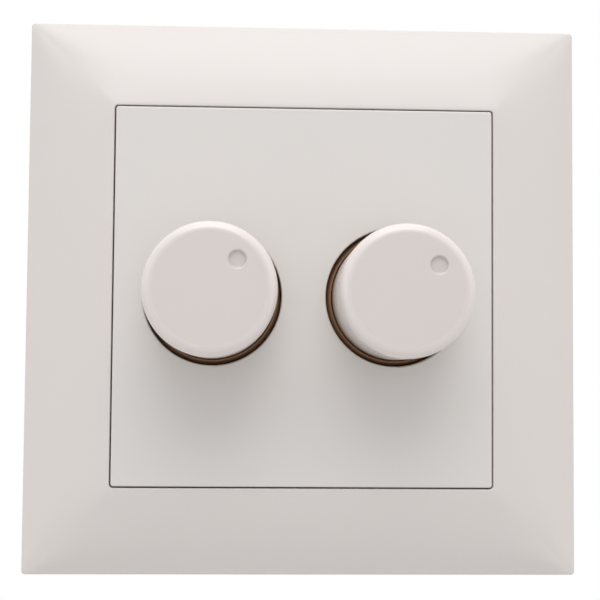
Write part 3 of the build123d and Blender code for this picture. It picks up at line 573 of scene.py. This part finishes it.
class DIMMER_OT_metalwork(bpy.types.Operator):
    """Finishes the support plate, the shafts, nuts, clips and screws"""
    bl_idname = "dimmer.metalwork"
    bl_label = "Metalwork"

    def execute(self, context):
        zinc = metal("zinc_steel", (0.62, 0.63, 0.645), 0.36, (1, 1, 14), scale=900.0, depth=1.6e-6)
        dress("support_plate", zinc)
        plated = metal("plated_steel", (0.56, 0.565, 0.57), 0.32, (1, 12, 1))
        dress_all(plated, "housing_screws", "triac_screws", "terminal_screws", "terminal_cages",
                  *both("pot_cover"))
        spring = metal("spring_steel", (0.40, 0.40, 0.41), 0.28, (14, 1, 1))
        dress_all(spring, *both("knob_clip"), *both("shaft_ring"))
        nickel = metal("nickel", (0.60, 0.575, 0.53), 0.22, (1, 20, 1))
        dress_all(nickel, *both("shaft"), *both("bushing_nut"))
        screwed = threaded("nickel_thread", (0.60, 0.575, 0.53), 0.26,
                           pitch=0.00075, low=-0.0063, high=-0.001, depth=1.2e-4)
        dress_all(screwed, *both("pot_bushing"))
        tinned = metal("tinned", (0.70, 0.70, 0.68), 0.34, (1, 10, 1))
        dress_all(tinned, "terminal_bars", *both("pot_pins"), *both("switch_contacts"))
        bronze = metal("bronze", (0.50, 0.29, 0.12), 0.30, (16, 1, 1))
        dress_all(bronze, "fuse_clips", *both("pot_wiper"))
        silver = metal("silver", (0.74, 0.73, 0.70), 0.30, (12, 1, 1))
        dress_all(silver, *both("switch_bridge"))
        aluminium = metal("aluminium", (0.64, 0.65, 0.66), 0.38, (18, 1, 1), scale=1100.0, depth=2.5e-6)
        dress("heat_spreader", aluminium)
        return {"FINISHED"}


class DIMMER_OT_insulation(bpy.types.Operator):
    """Finishes the housing, the terminal block and the film, and lines each well with a dark brown fibre cup
    whose colour is painted shade
    """
    bl_idname = "dimmer.insulation"
    bl_label = "Insulation"

    # a well cup's section, from its inner edge up the lip and down its back: (reach, height); the cup's dark
    # brown is painted shade in the gap round the knob
    cup_section = ((0.00515, 0.0), (0.00515, 0.0005), (0.00905, 0.0005), (0.00924, 0.0008), (0.00924, 0.0055),
                   (0.00927, 0.0057), (0.00935, 0.0058), (0.00948, 0.0057), (0.00976, 0.0049),
                   (0.00994, 0.0042), (0.01000, 0.0040), (0.01000, 0.0))

    def execute(self, context):
        settings = context.scene.dimmer
        housing = moulded("housing_black", settings.housing_colour, 0.52, grain=2600.0, depth=8e-6,
                          mottle=0.12)
        dress("housing", housing)
        grey = moulded("terminal_grey", (0.27, 0.28, 0.29), 0.48, grain=3200.0, depth=3e-6, mottle=0.06)
        dress("terminal_block", grey)
        film = moulded("film", (0.34, 0.33, 0.29), 0.55, grain=1500.0, depth=2e-6, mottle=0.08)
        dress("insulating_film", film)
        # painted shade: a dark brown fibre lines each well, where the gap round the knob lies in shade
        fibre = Shader("fibre")
        strands = fibre.noise(900.0, detail=5.0, roughness=0.7, stretch=(1, 6, 1))
        dark, pale = tint(settings.well_shade_colour, 0.6), tint(settings.well_shade_colour, 1.5)
        fibre.set(Base_Color=fibre.between(dark, pale, strands), Roughness=strands * 0.2 + 0.7)
        fibre.bump(strands, 1e-5)
        for side, sign in zip(SIDES, (-1, 1)):
            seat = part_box(f"{side}_seal_washer")[1][1]
            work = bmesh.new()
            lathe(work, (sign * settings.knob_reach, seat, 0), (0, -1, 0), self.cup_section, sides=96,
                  ring=True)
            cup = finished(work, f"{side}_well_cup")
            cup.set_sharp_from_angle(angle=math.radians(50))
            piece(f"{side}_well_cup", cup, fibre, "insert", "fibre", f"{side}_seal_washer")
        return {"FINISHED"}


class DIMMER_OT_pots(bpy.types.Operator):
    """Finishes the inside of the potentiometers and push switches"""
    bl_idname = "dimmer.pots"
    bl_label = "Potentiometers and switches"

    def execute(self, context):
        phenolic = moulded("phenolic", (0.075, 0.038, 0.022), 0.42, grain=2600.0, depth=4e-6, mottle=0.2)
        dress_all(phenolic, *both("pot_case"))
        carbon = moulded("track_carbon", (0.016, 0.016, 0.018), 0.36, grain=7000.0, depth=1e-6, mottle=0.25)
        dress_all(carbon, *both("pot_track"))
        rotor = moulded("rotor_plastic", (0.60, 0.56, 0.44), 0.45, grain=3000.0, depth=3e-6, mottle=0.04)
        dress_all(rotor, *both("pot_rotor"))
        black = moulded("switch_black", (0.020, 0.020, 0.022), 0.45, grain=3000.0, depth=4e-6, mottle=0.15)
        dress_all(black, *both("switch_case"))
        red = moulded("plunger_red", (0.42, 0.018, 0.012), 0.40, grain=3000.0, depth=3e-6, mottle=0.05)
        dress_all(red, *both("switch_plunger"))
        return {"FINISHED"}


class DIMMER_OT_board(bpy.types.Operator):
    """Finishes the circuit board, with copper tracks under green resist"""
    bl_idname = "dimmer.board"
    bl_label = "Circuit board"

    def execute(self, context):
        board = Shader("laminate")
        weave = board.node("ShaderNodeTexChecker", {}, {"Vector": board.place, "Scale": 2400.0}, 1)
        tracks = board.node("ShaderNodeTexVoronoi", {"feature": "DISTANCE_TO_EDGE"},
                            {"Vector": board.place, "Scale": 210.0})
        copper = tracks > 0.11
        resist = board.between((0.012, 0.085, 0.030), (0.020, 0.150, 0.048), copper)
        board.set(Base_Color=resist, Roughness=board.noise(1500.0) * 0.1 + 0.28, Coat_Weight=0.4,
                  Coat_Roughness=0.15)
        board.bump(copper * 0.8 + weave * 0.08, 3.5e-5)
        dress("circuit_board", board)
        return {"FINISHED"}


class DIMMER_OT_components(bpy.types.Operator):
    """Finishes the triacs, capacitors, cores, trimmers, fuse and resistors"""
    bl_idname = "dimmer.components"
    bl_label = "Components"

    def execute(self, context):
        epoxy = moulded("epoxy_black", (0.016, 0.016, 0.018), 0.55, grain=2600.0, depth=6e-6, mottle=0.2)
        dress("triacs", epoxy)
        box = moulded("film_cap", (0.50, 0.33, 0.035), 0.30, grain=3600.0, depth=3e-6, mottle=0.05)
        dress("film_capacitors", box)
        ferrite = moulded("ferrite", (0.36, 0.30, 0.05), 0.6, grain=2200.0, depth=9e-6, mottle=0.12)
        dress("choke_cores", ferrite)
        sleeve = moulded("cap_sleeve", (0.010, 0.016, 0.050), 0.30, grain=4200.0, depth=2e-6, mottle=0.06)
        dress("electrolytic_capacitor", sleeve)
        blue = moulded("trimmer_blue", (0.012, 0.050, 0.30), 0.40, grain=3600.0, depth=3e-6, mottle=0.06)
        dress("trimmer_bodies", blue)
        pale = moulded("trimmer_white", (0.66, 0.64, 0.56), 0.42, grain=3600.0, depth=3e-6, mottle=0.04)
        dress_all(pale, "upper_trimmer_rotor", "lower_trimmer_rotor")
        self.fuse()
        self.resistors()
        return {"FINISHED"}

    def fuse(self):
        """Clear glass between the plated caps."""
        glass = Shader("fuse_glass")
        caps = glass.axis("X").absolute() > 0.00499
        glass.set(Base_Color=glass.between((0.80, 0.86, 0.83), (0.66, 0.64, 0.60), caps),
                  Metallic=caps, Roughness=caps * 0.22 + 0.06, Alpha=caps * 0.65 + 0.35)
        glass.bump(glass.noise(900.0), 2e-6)
        dress("fuse", glass)

    def resistors(self):
        """Lacquer with colour rings, and bare leads beyond the bodies."""
        body = Shader("resistor_body")
        x = body.axis("X")
        ring = ((x * 4200.0).sine() > 0.55) * (1.0 - (x.absolute() > 0.0024))
        lacquer = body.between((0.55, 0.40, 0.20), (0.16, 0.03, 0.02), ring)
        lead = x.absolute() > 0.00325
        body.set(Base_Color=body.between(lacquer, (0.66, 0.66, 0.64), lead), Metallic=lead,
                 Roughness=body.noise(1200.0) * 0.12 + 0.3)
        body.bump(body.noise(700.0), 6e-6)
        dress("resistors", body)


class DIMMER_OT_windings(bpy.types.Operator):
    """Winds enamelled wire round both choke cores"""
    bl_idname = "dimmer.windings"
    bl_label = "Choke windings"

    hole = 0.0026          # radius of a core's hole
    clear = 0.00003        # between the wire and the core
    steps_a_turn = 16

    def execute(self, context):
        settings = context.scene.dimmer
        low, high = (Vector(v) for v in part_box("choke_cores"))
        radius = settings.wire_diameter / 2
        reach = (high.z - low.z) / 2
        work = bmesh.new()
        for sign in (-1, 1):
            centre = Vector((sign * (high.x - reach), (low.y + high.y) / 2, (low.z + high.z) / 2))
            self.wind(work, centre, reach, (high.y - low.y) / 2, radius, settings.winding_turns)
        copper = metal("enamel_copper", (0.52, 0.16, 0.045), 0.24, (1, 1, 1), scale=1500.0, depth=1e-6)
        copper.set(Coat_Weight=0.6, Coat_Roughness=0.12)
        piece("choke_turns", finished(work, "choke_turns"), copper, "insert", "enamel_copper",
              "choke_windings")
        return {"FINISHED"}

    def wind(self, work, centre, reach, half, radius, turns):
        """One closed wire that winds round the ring; its section is a rounded box round the core's."""
        middle, wide = (reach + self.hole) / 2, (reach - self.hole) / 2 + radius + self.clear
        tall = half + radius + self.clear
        steps = turns * self.steps_a_turn
        points = []
        for i in range(steps):
            around = 2 * math.pi * i / steps
            wrap = 2 * math.pi * turns * i / steps
            c, s = math.cos(wrap), math.sin(wrap)
            soft = 1 / max(abs(c) ** 5 + abs(s) ** 5, 1e-9) ** 0.2
            out = middle + wide * c * soft
            points.append(centre + Vector((math.cos(around) * out, tall * s * soft, math.sin(around) * out)))
        tube_along(work, points, radius, sides=6, closed=True)


class DIMMER_OT_springs(bpy.types.Operator):
    """Winds the two switch springs"""
    bl_idname = "dimmer.springs"
    bl_label = "Switch springs"

    wire = 0.000175        # radius of the wire
    steps_a_turn = 28

    def execute(self, context):
        settings = context.scene.dimmer
        steel = metal("spring_wire", (0.42, 0.42, 0.43), 0.25, (10, 1, 10))
        for side in SIDES:
            low, high = (Vector(v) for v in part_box(f"{side}_switch_spring"))
            radius = (high.x - low.x) / 2 - self.wire
            middle = (low + high) / 2
            steps = settings.spring_turns * self.steps_a_turn
            points = []
            for i in range(steps + 1):
                t = i / steps
                angle = 2 * math.pi * settings.spring_turns * t
                rise = low.y + self.wire + (high.y - low.y - 2 * self.wire) * t
                points.append(Vector((middle.x + radius * math.cos(angle), rise,
                                      middle.z + radius * math.sin(angle))))
            work = bmesh.new()
            tube_along(work, points, self.wire, sides=8)
            coil = piece(f"{side}_spring_coil", finished(work, f"{side}_spring_coil"), steel, "insert",
                         "spring_steel", f"{side}_switch_spring")
            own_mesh(coil)
        return {"FINISHED"}


class DIMMER_OT_solder(bpy.types.Operator):
    """Puts a cone of solder on each terminal leg and pin where it leaves the board"""
    bl_idname = "dimmer.solder"
    bl_label = "Solder"

    # each part's distance from the middle, the step from its centre to its next leg, and its height
    pot, pot_step, pot_z = 0.0133, 0.0025, 0.0092
    triac, triac_step, triac_z = 0.0179, 0.00254, 0.0149
    capacitor, capacitor_step, capacitor_z = 0.008, 0.005, 0.0146
    switch_step = 0.0041
    sink = 0.00002         # each cone's foot lies this deep in the board
    cone = ((0, 0), (0.00095, 0), (0.00082, 0.00012), (0.00060, 0.00035), (0.00045, 0.0007),
            (0.00030, 0.00095), (0, 0.00102))

    def execute(self, context):
        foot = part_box("circuit_board")[1][1] - self.sink
        tin = metal("solder", (0.66, 0.665, 0.67), 0.26, (1, 1, 1), scale=800.0, depth=3e-6)
        work = bmesh.new()
        for x, z in self.places():
            lathe(work, (x, foot, z), (0, 1, 0), self.cone, sides=14)
        piece("solder_joints", finished(work, "solder_joints"), tin, "insert", "tinned")
        return {"FINISHED"}

    def places(self):
        for sign in (-1, 1):
            for i in (-1, 0, 1):
                yield sign * self.pot + i * self.pot_step, self.pot_z
                yield sign * self.triac, self.triac_z + i * self.triac_step
            for i in (-1, 1):
                yield sign * self.pot + i * self.switch_step, 0.0
                yield sign * self.capacitor + i * self.capacitor_step, self.capacitor_z


class DIMMER_OT_stage(bpy.types.Operator):
    """Sets the floor, the lamps, the sky and the camera"""
    bl_idname = "dimmer.stage"
    bl_label = "Stage"

    # every lamp is a disc that faces the dimmer: its name, place, size and the setting that holds its power
    lamps = (("top_lamp", (0.0, -0.10, 0.75), 0.7, "top_power"),
             ("key_lamp", (0.0, -0.55, 0.62), 0.6, "key_power"),
             ("front_lamp", (-0.1, -0.95, 0.0), 0.7, "front_power"),
             ("left_lamp", (-0.8, -0.45, 0.1), 0.6, "side_power"),
             ("right_lamp", (0.8, -0.45, 0.1), 0.6, "side_power"))
    camera_place = (-0.00872, -0.19631, -0.01130)
    camera_turn = (93.2902, -0.4458, -2.5246)      # degrees
    floor_half = 1.6
    fade_start, fade_rate, least_fade = 0.10, 6.0, 0.30

    def execute(self, context):
        settings = context.scene.dimmer_stage
        low = Vector(CAD_BOX[0])
        self.floor(low.z - settings.floor_drop)
        self.sky(settings)
        for name, place, size, power in self.lamps:
            self.lamp(name, place, size, getattr(settings, power))
        self.camera(settings)
        context.scene.view_settings.view_transform = "Standard"
        return {"FINISHED"}

    def floor(self, height):
        """A pale floor that fades to the white of the sky away from the dimmer, and keeps its shadow."""
        work = bmesh.new()
        bmesh.ops.create_grid(work, x_segments=16, y_segments=16, size=self.floor_half)
        bmesh.ops.translate(work, verts=work.verts, vec=(0, 0, height))
        mesh = finished(work, "floor")
        ground = bpy.data.objects.new("floor", mesh)
        bpy.context.scene.collection.objects.link(ground)
        pale = moulded("floor_pale", (0.56, 0.555, 0.55), 0.8, grain=300.0, depth=1e-6, mottle=0.01)
        reach = pale.node("ShaderNodeVectorMath", {"operation": "LENGTH"}, {0: pale.place}, 1)
        fade = ((reach - self.fade_start) * self.fade_rate).clamped()
        fade = fade * (1 - self.least_fade) + self.least_fade
        glow = pale.node("ShaderNodeEmission", {}, {"Color": (1, 1, 1, 1), "Strength": 1.0})
        mixed = pale.node("ShaderNodeMixShader", {},
                          {0: fade * pale.plain_rays(), 1: pale.surface.outputs[0], 2: glow})
        pale.put(pale.out.inputs["Surface"], mixed)
        mesh.materials.append(pale.material)

    def sky(self, settings):
        """Lights more from overhead, and looks plain white to the camera."""
        world = bpy.data.worlds.new("studio")
        bpy.context.scene.world = world
        world.use_nodes = True
        studio = Tree(world.node_tree)
        place = studio.node("ShaderNodeTexCoord", {}, {}, "Generated")
        rise = studio.node("ShaderNodeSeparateXYZ", {}, {0: place}, "Z")
        above = studio.node("ShaderNodeMath", {"operation": "MAXIMUM"}, {0: rise, 1: 0.0})
        strength = above * settings.sky_rise + settings.sky_level
        soft = studio.node("ShaderNodeBackground", {},
                           {"Color": (1.0, 0.992, 0.985, 1.0), "Strength": strength})
        white = studio.node("ShaderNodeBackground", {}, {"Color": (1, 1, 1, 1)})
        mixed = studio.node("ShaderNodeMixShader", {}, {0: studio.plain_rays(), 1: soft, 2: white})
        out = studio.tree.nodes.new("ShaderNodeOutputWorld")
        studio.put(out.inputs["Surface"], mixed)

    def lamp(self, name, place, size, power):
        data = bpy.data.lights.new(name, "AREA")
        data.shape = "DISK"
        data.size = size
        data.energy = power
        light = bpy.data.objects.new(name, data)
        bpy.context.scene.collection.objects.link(light)
        light.location = place
        light.rotation_euler = (-Vector(place)).to_track_quat("-Z", "Y").to_euler()

    def camera(self, settings):
        data = bpy.data.cameras.new("camera")
        data.sensor_width = 36.0
        data.lens = settings.lens
        data.clip_start = 0.01
        data.clip_end = 20
        eye = bpy.data.objects.new("camera", data)
        bpy.context.scene.collection.objects.link(eye)
        eye.location = self.camera_place
        eye.rotation_euler = tuple(math.radians(a) for a in self.camera_turn)
        bpy.context.scene.camera = eye


PIECES = (DIMMER_OT_cover, DIMMER_OT_knobs, DIMMER_OT_metalwork, DIMMER_OT_insulation, DIMMER_OT_pots,
          DIMMER_OT_board, DIMMER_OT_components, DIMMER_OT_windings, DIMMER_OT_springs, DIMMER_OT_solder,
          DIMMER_OT_stage)


class DIMMER_PT_panel(bpy.types.Panel):
    bl_idname = "DIMMER_PT_panel"
    bl_label = "Twin rotary dimmer"
    bl_space_type = "VIEW_3D"
    bl_region_type = "UI"
    bl_category = "Dimmer"

    def draw(self, context):
        layout = self.layout
        for group in (context.scene.dimmer, context.scene.dimmer_stage):
            column = layout.column(align=True)
            for name in group.__annotations__:
                column.prop(group, name)
        column = layout.column(align=True)
        for operator in PIECES:
            column.operator(operator.bl_idname)


CLASSES = (DimmerSettings, StageSettings) + PIECES + (DIMMER_PT_panel,)


def register():
    for cls in CLASSES:
        bpy.utils.register_class(cls)
    bpy.types.Scene.dimmer = PointerProperty(type=DimmerSettings)
    bpy.types.Scene.dimmer_stage = PointerProperty(type=StageSettings)


def unregister():
    del bpy.types.Scene.dimmer_stage
    del bpy.types.Scene.dimmer
    for cls in reversed(CLASSES):
        bpy.utils.unregister_class(cls)


def main():
    register()
    for operator in PIECES:
        group, name = operator.bl_idname.split(".")
        getattr(getattr(bpy.ops, group), name)()


if __name__ == "__main__":
    main()
